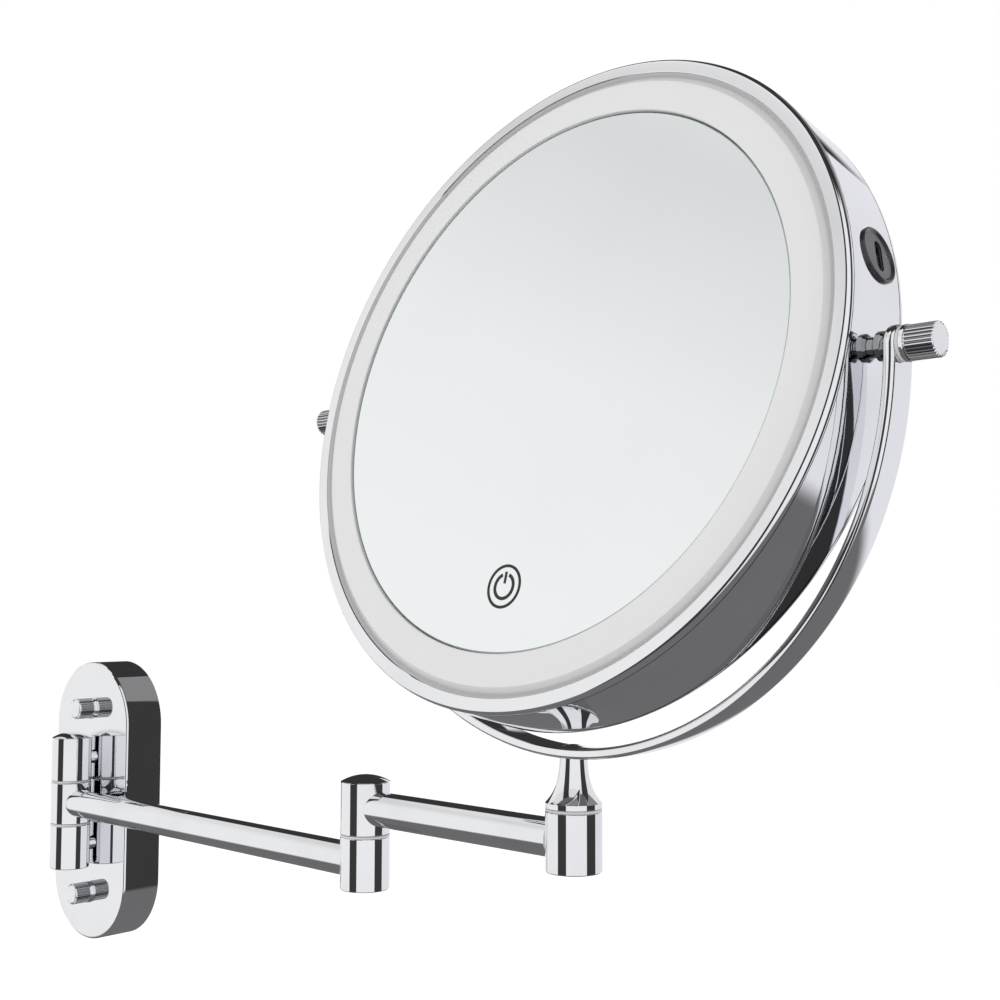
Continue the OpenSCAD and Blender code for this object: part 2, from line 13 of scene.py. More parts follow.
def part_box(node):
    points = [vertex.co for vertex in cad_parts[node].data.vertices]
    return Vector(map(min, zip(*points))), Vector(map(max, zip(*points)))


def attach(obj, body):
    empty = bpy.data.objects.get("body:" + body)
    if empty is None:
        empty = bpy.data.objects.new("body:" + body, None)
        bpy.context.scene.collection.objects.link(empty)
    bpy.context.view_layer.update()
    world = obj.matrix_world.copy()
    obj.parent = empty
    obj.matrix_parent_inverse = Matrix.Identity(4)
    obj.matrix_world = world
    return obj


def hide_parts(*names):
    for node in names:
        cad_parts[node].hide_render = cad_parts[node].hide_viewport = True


bl_info = {
    "name": "Folding Shaving Mirror",
    "version": (1, 0, 0),
    "blender": (4, 5, 0),
    "location": "View3D > Sidebar > Mirror",
    "description": "Builds the turned, knurled and polished pieces of a wall mirror",
    "category": "Object",
}

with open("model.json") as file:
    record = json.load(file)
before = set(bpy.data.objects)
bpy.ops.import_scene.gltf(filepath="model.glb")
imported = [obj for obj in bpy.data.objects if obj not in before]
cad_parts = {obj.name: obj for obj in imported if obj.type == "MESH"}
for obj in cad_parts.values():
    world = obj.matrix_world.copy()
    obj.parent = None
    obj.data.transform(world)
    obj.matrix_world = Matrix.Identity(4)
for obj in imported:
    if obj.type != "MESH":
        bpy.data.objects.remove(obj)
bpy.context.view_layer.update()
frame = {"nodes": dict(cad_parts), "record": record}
NODES = frame["nodes"]
JOINTS = {joint["name"]: joint for joint in frame["record"]["behaviour"]["joints"]}

MM = 0.001
AXIS_Z = Vector((0, 0, 1))
PIVOT = Vector(JOINTS["head_tilt"]["pos_m"])
KNUCKLE = Vector(JOINTS["wall_swivel"]["pos_m"])
ELBOW = Vector(JOINTS["elbow"]["pos_m"])
ARM = Vector(JOINTS["head_tilt"]["axis"]).normalized()
ARM_ANGLE = math.atan2(ARM.y, ARM.x)
HEAD_LEAN = math.radians(75)
YOKE_FRAME = Matrix.Translation(PIVOT) @ Matrix.Rotation(ARM_ANGLE, 4, "Z")
HEAD_FRAME = YOKE_FRAME @ Matrix.Rotation(HEAD_LEAN, 4, "X")
ALONG_X = Matrix.Rotation(math.radians(90), 4, "Y")

# Sizes shared by several pieces, in millimetres unless the name says otherwise.
BAND_INNER = 113.1
BAND_OUTER = 116.5
WASHER_THICKNESS = 0.9
RIM_RADIUS = 108.0
FRONT_GLASS_RADIUS_M = 0.0897
REAR_GLASS_RADIUS_M = 0.1022

FLOOR_SIZE_M = 6.0
FLOOR_HEIGHT_M = -0.32
LAMP_PLACE_M = (0.2, -0.9, 1.6)
LAMP_TARGET_M = (0.2, -0.2, 0.0)
CAMERA_PLACE_M = (0.5954, -0.4081, 0.0951)
CAMERA_AIM = (-0.6546, 0.7528, 0.0689)
CAMERA_LENS_MM = 51.44
CAMERA_ROLL_DEGREES = 0.11

# Parts of the studio by bearing, in degrees clockwise from the wall's side, seen from above.
SECTORS = {
    "left_wall": (209, 285),
    "back_wall": (-36, 46),
    "high_right": (-10, 49),
    "far_left": (-75, -35),
    "high_back": (-36, -10),
    "near_strip": (172, 208),
    "right_strip": (47, 88),
}

# Where each part of the studio fades in, as the sine of its height above the horizon.
LEVELS = {
    "high_right": (0.49, 0.53),
    "far_left": (0.03, 0.07),
    "high_back": (0.42, 0.46),
    "ceiling": (0.87, 0.92),
    "near_ground": (-0.34, -0.44),
    "far_ground": (-0.18, -0.24),
}


# ---------------------------------------------------------------- mesh helpers


def finish_piece(name, bm, body, materials, replaces=(), smooth_angle=30):
    """Turns a bmesh into a finished piece that rides on a CAD body."""
    bmesh.ops.remove_doubles(bm, verts=bm.verts, dist=1e-7)
    bmesh.ops.recalc_face_normals(bm, faces=bm.faces)
    limit = math.radians(smooth_angle)
    for face in bm.faces:
        face.smooth = True
    for edge in bm.edges:
        edge.smooth = len(edge.link_faces) == 2 and edge.calc_face_angle(0) < limit
    mesh = bpy.data.meshes.new(name)
    bm.to_mesh(mesh)
    bm.free()
    piece = bpy.data.objects.new(name, mesh)
    bpy.context.collection.objects.link(piece)
    for material in materials:
        mesh.materials.append(material)
    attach(piece, body)
    if replaces:
        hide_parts(*replaces)
    return piece


def profile(bm, points, place=Matrix.Identity(4), closed=False):
    """An open or closed outline in the XZ plane: (distance from the axis, height), in mm."""
    verts = [bm.verts.new(place @ Vector((x * MM, 0, z * MM))) for x, z in points]
    edges = [bm.edges.new(pair) for pair in zip(verts, verts[1:])]
    if closed:
        edges.append(bm.edges.new((verts[-1], verts[0])))
    return verts, edges


def turn(bm, points, place, steps, closed=False):
    """Turns an outline a full circle about local Z."""
    verts, edges = profile(bm, points, place, closed)
    centre = place @ Vector((0, 0, 0))
    axis = place.to_3x3() @ AXIS_Z
    bmesh.ops.spin(
        bm, geom=verts + edges, cent=centre, axis=axis, angle=math.tau, steps=steps, use_merge=True
    )
    bmesh.ops.remove_doubles(bm, verts=bm.verts, dist=1e-7)


def arc(cx, cz, r, start, end, count):
    """Points of an arc, angles in degrees."""
    out = []
    for i in range(count + 1):
        a = math.radians(start + (end - start) * i / count)
        out.append((cx + r * math.cos(a), cz + r * math.sin(a)))
    return out


def knurled_bar(bm, place, radius, depth, teeth, base, length, chamfer, shaded_ridges=False):
    """A closed bar with straight ridges and a flat chamfered end.

    The grooves take the piece's second material, and with shaded_ridges so do the ridges; here that
    material is a darker chrome that paints shade into the knurling.
    """
    ring = bmesh.ops.create_circle(bm, segments=teeth * 4, radius=radius * MM)["verts"]
    made = list(ring)
    for i, vert in enumerate(ring):
        if i % 4 in (2, 3):
            vert.co *= (radius - depth) / radius
        vert.co.z = base * MM
    first = list({edge for vert in ring for edge in vert.link_edges})
    loop = first
    for height, scale in (
        (base + length - chamfer, 1.0),
        (base + length, (radius - chamfer) / radius),
    ):
        new = bmesh.ops.extrude_edge_only(bm, edges=loop)["geom"]
        rim = [item for item in new if isinstance(item, bmesh.types.BMVert)]
        loop = [item for item in new if isinstance(item, bmesh.types.BMEdge)]
        loop = [edge for edge in loop if all(vert in rim for vert in edge.verts)]
        for vert in rim:
            vert.co = Vector((vert.co.x * scale, vert.co.y * scale, height * MM))
        made += rim
        for face in [item for item in new if isinstance(item, bmesh.types.BMFace)]:
            spots = [math.hypot(vert.co.x, vert.co.y) for vert in face.verts]
            ridge = scale == 1.0 and min(spots) > (radius - depth / 2) * MM
            face.material_index = 1 if scale == 1.0 and (shaded_ridges or not ridge) else 0
    bmesh.ops.transform(bm, matrix=place, verts=made)
    bmesh.ops.contextual_create(bm, geom=first)
    end = bmesh.ops.contextual_create(bm, geom=loop)["faces"]
    bmesh.ops.inset_region(bm, faces=end, thickness=0.25 * MM, depth=0.0)


# ------------------------------------------------------------ material helpers


def new_group(name, inputs, outputs):
    """A shader node group with named sockets."""
    group = bpy.data.node_groups.new(name, "ShaderNodeTree")
    for label, kind, default in inputs:
        socket = group.interface.new_socket(label, in_out="INPUT", socket_type=kind)
        if default is not None:
            socket.default_value = default
    for label, kind in outputs:
        group.interface.new_socket(label, in_out="OUTPUT", socket_type=kind)
    return group


def scaled_tint(tint, factor):
    """A colour with every channel multiplied by a factor, darker below 1 and lighter above."""
    return tuple(channel * factor for channel in tint)


class Graph:
    """Short ways to add and link nodes in one tree."""

    def __init__(self, tree):
        self.tree = tree

    def add(self, kind, **settings):
        node = self.tree.nodes.new(kind)
        for key, value in settings.items():
            setattr(node, key, value)
        return node

    def link(self, source, target):
        self.tree.links.new(source, target)

    def math(self, operation, a, b=None, clamp=False):
        node = self.add("ShaderNodeMath", operation=operation, use_clamp=clamp)
        for socket, value in zip(node.inputs, (a, b)):
            if value is None:
                continue
            if isinstance(value, (int, float)):
                socket.default_value = value
            else:
                self.link(value, socket)
        return node.outputs[0]

    def fade(self, value, low, high, start=0.0, end=1.0):
        """Maps low..high smoothly to start..end."""
        node = self.add("ShaderNodeMapRange", interpolation_type="SMOOTHSTEP")
        self.link(value, node.inputs["Value"])
        node.inputs["From Min"].default_value = low
        node.inputs["From Max"].default_value = high
        node.inputs["To Min"].default_value = start
        node.inputs["To Max"].default_value = end
        return node.outputs["Result"]

    def mix(self, factor, a, b):
        """Mixes two colours, each a socket or an RGB triple."""
        node = self.add("ShaderNodeMix", data_type="RGBA")
        for socket, value in ((node.inputs[0], factor), (node.inputs[6], a), (node.inputs[7], b)):
            if isinstance(value, (int, float)):
                socket.default_value = value
            elif isinstance(value, tuple):
                socket.default_value = (*value, 1.0)
            else:
                self.link(value, socket)
        return node.outputs[2]


def handling_group():
    """Roughness and a smudge mask, from broad finger haze and fine polishing grain."""
    group = new_group(
        "handling_haze",
        [
            ("Vector", "NodeSocketVector", None),
            ("Smudge Scale", "NodeSocketFloat", 28.0),
            ("Clean", "NodeSocketFloat", 0.04),
            ("Hazy", "NodeSocketFloat", 0.09),
        ],
        [("Roughness", "NodeSocketFloat"), ("Mask", "NodeSocketFloat")],
    )
    g = Graph(group)
    source = g.add("NodeGroupInput")
    result = g.add("NodeGroupOutput")
    broad = g.add("ShaderNodeTexNoise")
    broad.inputs["Detail"].default_value = 3.0
    g.link(source.outputs["Vector"], broad.inputs["Vector"])
    g.link(source.outputs["Smudge Scale"], broad.inputs["Scale"])
    fine = g.add("ShaderNodeTexNoise")
    fine.inputs["Scale"].default_value = 900.0
    fine.inputs["Detail"].default_value = 1.0
    g.link(source.outputs["Vector"], fine.inputs["Vector"])
    smudge = g.fade(broad.outputs["Fac"], 0.45, 0.75)
    grain = g.math("MULTIPLY", fine.outputs["Fac"], 0.25)
    mask = g.math("ADD", smudge, grain, clamp=True)
    span = g.math("SUBTRACT", source.outputs["Hazy"], source.outputs["Clean"])
    scaled = g.math("MULTIPLY", mask, span)
    g.link(g.math("ADD", scaled, source.outputs["Clean"]), result.inputs["Roughness"])
    g.link(mask, result.inputs["Mask"])
    return group


def grain_group():
    """Height of a fine grain that can be stretched along one direction by its vector."""
    group = new_group(
        "surface_grain",
        [("Vector", "NodeSocketVector", None), ("Scale", "NodeSocketFloat", 1200.0)],
        [("Height", "NodeSocketFloat")],
    )
    g = Graph(group)
    source = g.add("NodeGroupInput")
    result = g.add("NodeGroupOutput")
    noise = g.add("ShaderNodeTexNoise")
    noise.inputs["Detail"].default_value = 2.0
    g.link(source.outputs["Vector"], noise.inputs["Vector"])
    g.link(source.outputs["Scale"], noise.inputs["Scale"])
    g.link(noise.outputs["Fac"], result.inputs["Height"])
    return group


GROUPS = {}


def group_node(g, name):
    """Places one of the shared node groups."""
    makers = {"handling_haze": handling_group, "surface_grain": grain_group}
    if name not in GROUPS:
        GROUPS[name] = makers[name]()
    return g.add("ShaderNodeGroup", node_tree=GROUPS[name])


def start_material(name):
    """A new material with its graph, its main shader and its object coordinates."""
    material = bpy.data.materials.new(name)
    material.use_nodes = True
    g = Graph(material.node_tree)
    shader = material.node_tree.nodes["Principled BSDF"]
    coords = g.add("ShaderNodeTexCoord")
    return material, g, shader, coords.outputs["Object"]


def placed(g, vector, matrix=None, scale=(1, 1, 1)):
    """Object coordinates brought into a piece's own frame, then stretched."""
    if matrix is not None:
        node = g.add("ShaderNodeMapping", vector_type="TEXTURE")
        node.inputs["Location"].default_value = matrix.to_translation()
        node.inputs["Rotation"].default_value = matrix.to_euler("XYZ")
        g.link(vector, node.inputs["Vector"])
        vector = node.outputs["Vector"]
    if scale != (1, 1, 1):
        node = g.add("ShaderNodeMapping")
        node.inputs["Scale"].default_value = scale
        g.link(vector, node.inputs["Vector"])
        vector = node.outputs["Vector"]
    return vector


def radius_of(g, vector):
    """Distance from local Z, in metres."""
    flat = g.add("ShaderNodeVectorMath", operation="MULTIPLY")
    flat.inputs[1].default_value = (1, 1, 0)
    g.link(vector, flat.inputs[0])
    length = g.add("ShaderNodeVectorMath", operation="LENGTH")
    g.link(flat.outputs[0], length.inputs[0])
    return length.outputs["Value"]


def bump(g, height, shader, strength, distance):
    """Lets a height disturb the shader's normal; the distance is in metres."""
    node = g.add("ShaderNodeBump")
    node.inputs["Strength"].default_value = strength
    node.inputs["Distance"].default_value = distance
    g.link(height, node.inputs["Height"])
    g.link(node.outputs["Normal"], shader.inputs["Normal"])


def polished_metal(name, colour, clean, hazy, frame_matrix=None, stretch=(1, 1, 1), relief=0.02):
    """Plated or machined metal: haze in the roughness and a faint directional grain."""
    material, g, shader, coords = start_material(name)
    local = placed(g, coords, frame_matrix)
    haze = group_node(g, "handling_haze")
    haze.inputs["Clean"].default_value = clean
    haze.inputs["Hazy"].default_value = hazy
    g.link(local, haze.inputs["Vector"])
    g.link(haze.outputs["Roughness"], shader.inputs["Roughness"])
    hazed = g.mix(haze.outputs["Mask"], tuple(colour), scaled_tint(colour, 0.94))
    g.link(hazed, shader.inputs["Base Color"])
    shader.inputs["Metallic"].default_value = 1.0
    grain = group_node(g, "surface_grain")
    g.link(placed(g, local, None, stretch), grain.inputs["Vector"])
    bump(g, grain.outputs["Height"], shader, relief, 0.0002)
    return material


def moulded(name, colour, second, rough, relief=0.15, grain_scale=2500.0, coat=0.0):
    """Moulded plastic or rubber with a fine texture and slight colour drift."""
    material, g, shader, coords = start_material(name)
    haze = group_node(g, "handling_haze")
    haze.inputs["Clean"].default_value = rough * 0.85
    haze.inputs["Hazy"].default_value = min(1.0, rough * 1.2)
    haze.inputs["Smudge Scale"].default_value = 90.0
    g.link(coords, haze.inputs["Vector"])
    g.link(haze.outputs["Roughness"], shader.inputs["Roughness"])
    g.link(g.mix(haze.outputs["Mask"], tuple(colour), tuple(second)), shader.inputs["Base Color"])
    shader.inputs["Coat Weight"].default_value = coat
    grain = group_node(g, "surface_grain")
    grain.inputs["Scale"].default_value = grain_scale
    g.link(coords, grain.inputs["Vector"])
    bump(g, grain.outputs["Height"], shader, relief, 0.0001)
    return material


def silvered_glass(name, tint, edge_radius):
    """Silvered glass: a clean mirror whose ground edge turns slightly green and darker."""
    material, g, shader, coords = start_material(name)
    local = placed(g, coords, HEAD_FRAME)
    haze = group_node(g, "handling_haze")
    haze.inputs["Clean"].default_value = 0.008
    haze.inputs["Hazy"].default_value = 0.03
    haze.inputs["Smudge Scale"].default_value = 16.0
    g.link(local, haze.inputs["Vector"])
    g.link(haze.outputs["Roughness"], shader.inputs["Roughness"])
    edge = g.fade(radius_of(g, local), edge_radius - 0.0006, edge_radius)
    hazed = g.mix(haze.outputs["Mask"], tuple(tint), scaled_tint(tint, 0.985))
    green = (tint[0] * 0.72, tint[1] * 0.8, tint[2] * 0.77)
    g.link(g.mix(edge, hazed, green), shader.inputs["Base Color"])
    shader.inputs["Metallic"].default_value = 1.0
    return material


def frosted_ring(name, colour):
    """Frosted diffuser with painted shade: darker on its slopes and in the groove beside the rim.
    """
    material, g, shader, coords = start_material(name)
    local = placed(g, coords, HEAD_FRAME)
    radius = radius_of(g, local)
    # Painted shade: both slopes and the groove beside the rim get darker copies of the ring's
    # colour.
    outer_slope_shade = g.fade(radius, 0.0998, 0.1002)
    groove = g.fade(radius, 0.1014, 0.1018)
    inner_slope_shade = g.fade(radius, 0.0903, 0.0899)
    painted_slope_shade = g.math("MAXIMUM", outer_slope_shade, inner_slope_shade)
    tint = g.mix(painted_slope_shade, tuple(colour), scaled_tint(colour, 0.84))
    tint = g.mix(groove, tint, scaled_tint(colour, 0.66))
    haze = group_node(g, "handling_haze")
    haze.inputs["Clean"].default_value = 0.32
    haze.inputs["Hazy"].default_value = 0.42
    g.link(local, haze.inputs["Vector"])
    g.link(haze.outputs["Roughness"], shader.inputs["Roughness"])
    g.link(tint, shader.inputs["Base Color"])
    grain = group_node(g, "surface_grain")
    grain.inputs["Scale"].default_value = 3000.0
    g.link(local, grain.inputs["Vector"])
    bump(g, grain.outputs["Height"], shader, 0.1, 0.0001)
    shader.inputs["Subsurface Weight"].default_value = 0.2
    shader.inputs["Subsurface Radius"].default_value = (0.002, 0.002, 0.002)
    return material


def printed_board(name, mask_colour, trace_colour):
    """Solder mask with a faint pattern of traces under it."""
    material, g, shader, coords = start_material(name)
    local = placed(g, coords, HEAD_FRAME)
    cells = g.add("ShaderNodeTexVoronoi", distance="CHEBYCHEV", feature="DISTANCE_TO_EDGE")
    cells.inputs["Scale"].default_value = 260.0
    g.link(local, cells.inputs["Vector"])
    line = g.fade(cells.outputs["Distance"], 0.03, 0.09, 1.0, 0.0)
    g.link(g.mix(line, tuple(mask_colour), tuple(trace_colour)), shader.inputs["Base Color"])
    haze = group_node(g, "handling_haze")
    haze.inputs["Clean"].default_value = 0.28
    haze.inputs["Hazy"].default_value = 0.38
    g.link(local, haze.inputs["Vector"])
    g.link(haze.outputs["Roughness"], shader.inputs["Roughness"])
    bump(g, line, shader, 0.2, 0.00005)
    return material


# ------------------------------------------------------------------ settings


def amount(name, description, default, low, high):
    """A plain number among the settings."""
    return FloatProperty(
        name=name, description=description, default=default, min=low, max=high, precision=2
    )


def swatch(name, description, default):
    """A colour among the settings."""
    return FloatVectorProperty(
        name=name, description=description, default=default, size=3, min=0, max=1, subtype="COLOR"
    )


class MirrorSizes(PropertyGroup):
    """Sizes of the turned and knurled pieces, in millimetres."""

    knurl_depth: amount(
        "Knurl Depth", "Depth of the grooves between ridges, in mm", 0.42, 0.1, 0.6
    )
    knob_radius: amount("Knob Radius", "Radius over the ridges of a tilt knob, in mm", 4.8, 4, 5)
    nut_radius: amount("Nut Radius", "Radius over the ridges of a cover nut, in mm", 4.7, 4, 5)
    knob_teeth: IntProperty(
        name="Knob Ridges", description="Ridges round a tilt knob", default=28, min=12, max=40
    )
    nut_teeth: IntProperty(
        name="Nut Ridges", description="Ridges round a cover nut", default=28, min=12, max=40
    )
    round_steps: IntProperty(
        name="Round Steps",
        description="Facets round a small turned piece",
        default=96,
        min=24,
        max=192,
    )
    rim_steps: IntProperty(
        name="Rim Steps", description="Facets round the head's rims", default=360, min=96, max=512
    )


class MirrorColours(PropertyGroup):
    """Colours of the finishes."""

    chrome: swatch("Chrome", "Tint of the polished plating", (0.86, 0.865, 0.885))
    steel: swatch("Steel", "Tint of the plain steel pieces", (0.56, 0.565, 0.58))
    glass: swatch("Glass", "Tint of the silvered glass", (0.9, 0.93, 0.93))
    diffuser: swatch("Light Ring", "Colour of the frosted ring", (0.72, 0.72, 0.725))
    port: swatch("Port", "Colour of the port's moulding", (0.022, 0.022, 0.024))
    nylon: swatch("Washers", "Colour of the joint washers", (0.62, 0.62, 0.635))
    ink: swatch("Symbol", "Colour of the switch symbol", (0.012, 0.013, 0.014))


class StudioLook(PropertyGroup):
    """Brightness of the studio round the mirror."""

    wall: amount("Wall", "Brightness of the white walls", 0.94, 0, 2)
    strips: amount("Strips", "Brightness of the two dark wall strips", 0.045, 0, 2)
    ceiling: amount("Ceiling", "Brightness of the ceiling", 0.037, 0, 2)
    ground: amount("Ground", "Brightness seen below the horizon", 0.16, 0, 2)
    fill: amount("Fill", "Brightness of the even light on matt pieces", 0.82, 0, 2)
    backdrop: amount("Backdrop", "Brightness of the backdrop", 1.0, 0, 2)
    overhead: FloatProperty(
        name="Overhead Light",
        description="Power of the soft light above",
        default=6.0,
        min=0,
        max=200,
        unit="POWER",
    )


MATERIALS = {}


def finish_for(slot):
    """The finish of a record slot, made on first use."""
    if slot not in MATERIALS:
        MATERIALS[slot] = make_finish(slot)
    return MATERIALS[slot]


def make_finish(slot):
    """Makes the material of a record slot, or of the darker, painted-shade sides of a knurled
    piece.
    """
    tints = bpy.context.scene.mirror_colours
    chrome = tuple(tints.chrome)
    steel = tuple(tints.steel)
    glass = tuple(tints.glass)
    arm_frame = Matrix.Rotation(ARM_ANGLE, 4, "Z")
    if slot == "polished":
        return polished_metal("polished_chrome", chrome, 0.01, 0.03, relief=0.003)
    # Painted shade: the pivot beads get a darker copy of the chrome.
    if slot == "bead":
        return polished_metal("bead_shade_chrome", scaled_tint(chrome, 0.42), 0.05, 0.1, relief=0.01)
    # Painted shade: the knurled sides of the cover nuts, ridges and grooves alike, get a darker
    # copy of the chrome.
    if slot == "shaded_nut_sides":
        return polished_metal("nut_knurling_shade", scaled_tint(chrome, 0.42), 0.12, 0.2, relief=0.05)
    # Painted shade: the grooves of the tilt knobs get a darker copy of the chrome.
    if slot == "grooves":
        return polished_metal("knurl_groove_shade", scaled_tint(chrome, 0.34), 0.12, 0.22, relief=0.05)
    if slot == "tube":
        return polished_metal("tube_chrome", chrome, 0.015, 0.04, arm_frame, (0.02, 1, 1), 0.008)
    if slot == "drum":
        turned = (0.05, 0.05, 1)
        return polished_metal("drum_chrome", chrome, 0.01, 0.03, HEAD_FRAME, turned, 0.002)
    if slot == "steel":
        return polished_metal("machined_steel", steel, 0.22, 0.34, relief=0.1)
    if slot == "port_shell":
        return polished_metal("port_shell", steel, 0.2, 0.3, relief=0.05)
    if slot == "cell":
        return polished_metal("cell_foil", (0.6, 0.61, 0.63), 0.3, 0.45, relief=0.3)
    if slot == "glass":
        return silvered_glass("front_glass", glass, FRONT_GLASS_RADIUS_M)
    if slot == "lens":
        return silvered_glass("rear_glass", glass, REAR_GLASS_RADIUS_M)
    if slot == "diffuser":
        return frosted_ring("frosted_ring", tuple(tints.diffuser))
    if slot == "board":
        return printed_board("white_board", (0.8, 0.8, 0.78), (0.7, 0.7, 0.66))
    if slot == "green_board":
        return printed_board("green_board", (0.02, 0.12, 0.05), (0.05, 0.2, 0.09))
    if slot == "led":
        return moulded("led_phosphor", (0.85, 0.74, 0.3), (0.8, 0.66, 0.25), 0.4)
    if slot == "frame":
        return moulded("frame_plastic", (0.02, 0.02, 0.022), (0.03, 0.03, 0.032), 0.5)
    if slot == "nylon":
        nylon = tuple(tints.nylon)
        return moulded("washer_nylon", nylon, scaled_tint(nylon, 0.9), 0.4)
    if slot == "plug":
        return moulded("socket_plug", (0.03, 0.03, 0.032), (0.04, 0.04, 0.042), 0.5)
    if slot == "symbol":
        ink = tuple(tints.ink)
        return moulded("etched_symbol", ink, scaled_tint(ink, 1.3), 0.5)
    if slot == "port":
        port = tuple(tints.port)
        return moulded("port_moulding", port, scaled_tint(port, 1.5), 0.28, 0.08, coat=0.3)
    if slot == "light_pipe":
        return moulded("light_pipe", (0.5, 0.5, 0.48), (0.45, 0.45, 0.43), 0.15)
    raise ValueError("no finish for slot " + slot)


# ----------------------------------------------------------------- operators


class MIRROR_OT_finishes(Operator):
    """Give every carried CAD piece its procedural finish"""

    bl_idname = "mirror.finishes"
    bl_label = "Finishes"

    def execute(self, context):
        for entry in frame["record"]["subparts"]:
            piece = NODES[entry["node"]]
            material = finish_for(entry["material_slot"])
            piece.data.materials.clear()
            piece.data.materials.append(material)
        return {"FINISHED"}


class MIRROR_OT_rims(Operator):
    """Turn the front and rear rims of the head"""

    bl_idname = "mirror.rims"
    bl_label = "Rims"

    def execute(self, context):
        steps = context.scene.mirror_sizes.rim_steps
        seat, inside = 106.4, 105.3
        skirt = [(RIM_RADIUS, 12.3), (seat, 12.3), (seat, 9.0), (inside, 9.0)]
        soft, opening, floor = 1.6, 103.2, 12.6
        front = [(opening, floor), (opening, 14.0), (opening + 0.2, 14.2)]
        front += [*arc(RIM_RADIUS - soft, 12.6, soft, 90, 0, 12), *skirt, (inside, floor)]
        tight, opening, floor = 1.0, 102.6, 13.4
        rear = [(opening, floor), (opening, 14.0), (opening + 0.2, 14.2)]
        rear += [*arc(RIM_RADIUS - tight, 12.95, tight, 90, 0, 10), *skirt, (inside, floor)]
        for name, node, outline, flip in (
            ("front_rim", "front_bezel", front, Matrix.Identity(4)),
            ("rear_rim", "rear_bezel", rear, Matrix.Rotation(math.pi, 4, "X")),
        ):
            bm = bmesh.new()
            turn(bm, outline, HEAD_FRAME @ flip, steps, closed=True)
            finish_piece(name, bm, "head", [finish_for("polished")], [node], 35)
        return {"FINISHED"}


class MIRROR_OT_light_ring(Operator):
    """Turn the frosted ring, with the groove between it and the front rim"""

    bl_idname = "mirror.light_ring"
    bl_label = "Light Ring"

    def execute(self, context):
        inner, outer, foot, crest = 89.9, 103.15, 12.0, 14.6
        top = [(inner, foot), (inner, 14.35), (90.1, 14.55), (90.4, crest), (99.6, crest)]
        groove = [(100.1, 14.4), (101.7, 13.1), (102.2, 13.0), (outer, 13.9), (outer, foot)]
        bm = bmesh.new()
        turn(bm, top + groove, HEAD_FRAME, context.scene.mirror_sizes.rim_steps, closed=True)
        looks = [finish_for("diffuser")]
        finish_piece("frosted_light_ring", bm, "head", looks, ["light_ring"], 25)
        return {"FINISHED"}


class MIRROR_OT_half_ring(Operator):
    """Bend the half ring that carries the head"""

    bl_idname = "mirror.half_ring"
    bl_label = "Half Ring"

    def execute(self, context):
        inner, outer, half, edge = BAND_INNER, BAND_OUTER, 5.25, 1.1
        bend_steps, end_steps, corner_steps = 180, 32, 5
        corners = [
            (inner, 0.0),
            *arc(inner + edge, half - edge, edge, 180, 90, corner_steps),
            *arc(outer - edge, half - edge, edge, 90, 0, corner_steps),
            (outer, 0.0),
            *arc(outer - edge, edge - half, edge, 0, -90, corner_steps),
            *arc(inner + edge, edge - half, edge, 270, 180, corner_steps),
        ]
        bm = bmesh.new()
        upright = YOKE_FRAME @ Matrix.Rotation(math.radians(-90), 4, "X")
        verts, edges = profile(bm, corners, upright, closed=True)
        axis = upright.to_3x3() @ AXIS_Z
        bmesh.ops.spin(
            bm, geom=verts + edges, cent=PIVOT, axis=axis, angle=math.pi, steps=bend_steps
        )
        tab = [
            (0.0, inner),
            *arc(half - edge, inner + edge, edge, 270, 360, corner_steps),
            *arc(half - edge, outer - edge, edge, 0, 90, corner_steps),
            (0.0, outer),
        ]
        for side in (0, math.pi):
            place = YOKE_FRAME @ Matrix.Rotation(side, 4, "Z") @ ALONG_X
            verts, edges = profile(bm, tab, place @ Matrix.Rotation(math.radians(90), 4, "Z"))
            centre = place @ Vector((0, 0, 0))
            bmesh.ops.spin(
                bm,
                geom=verts + edges,
                cent=centre,
                axis=place.to_3x3() @ AXIS_Z,
                angle=math.pi,
                steps=end_steps,
            )
        looks = [finish_for("polished")]
        finish_piece("half_ring", bm, "yoke", looks, ["yoke_band"], 35)
        return {"FINISHED"}


class MIRROR_OT_thumb_nuts(Operator):
    """Knurl the two nuts that hold the wall cover"""

    bl_idname = "mirror.thumb_nuts"
    bl_label = "Cover Nuts"

    def execute(self, context):
        sizes = context.scene.mirror_sizes
        low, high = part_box("cover_nuts")
        collar_radius = 5.0
        centres = (low[2] + collar_radius * MM, high[2] - collar_radius * MM)
        face = high[1]
        bm = bmesh.new()
        for height in centres:
            place = Matrix.Translation((0, face, height)) @ Matrix.Rotation(math.pi / 2, 4, "X")
            disc = [(0, 0), (4.8, 0), (collar_radius, 0.2), (collar_radius, 0.8), (4.8, 1.0)]
            collar = [*disc, (4.3, 1.0), (4.3, 1.6), (0, 1.6)]
            turn(bm, collar, place, sizes.round_steps)
            knurled_bar(
                bm,
                place,
                sizes.nut_radius,
                sizes.knurl_depth,
                sizes.nut_teeth,
                base=1.5,
                length=7.3,
                chamfer=0.35,
                shaded_ridges=True,
            )
        # The second material paints shade on the knurled sides.
        looks = [finish_for("polished"), finish_for("shaded_nut_sides")]
        finish_piece(
            "cover_thumb_nuts", bm, "wall_mount", looks, ["cover_nuts"], 25
        )
        return {"FINISHED"}


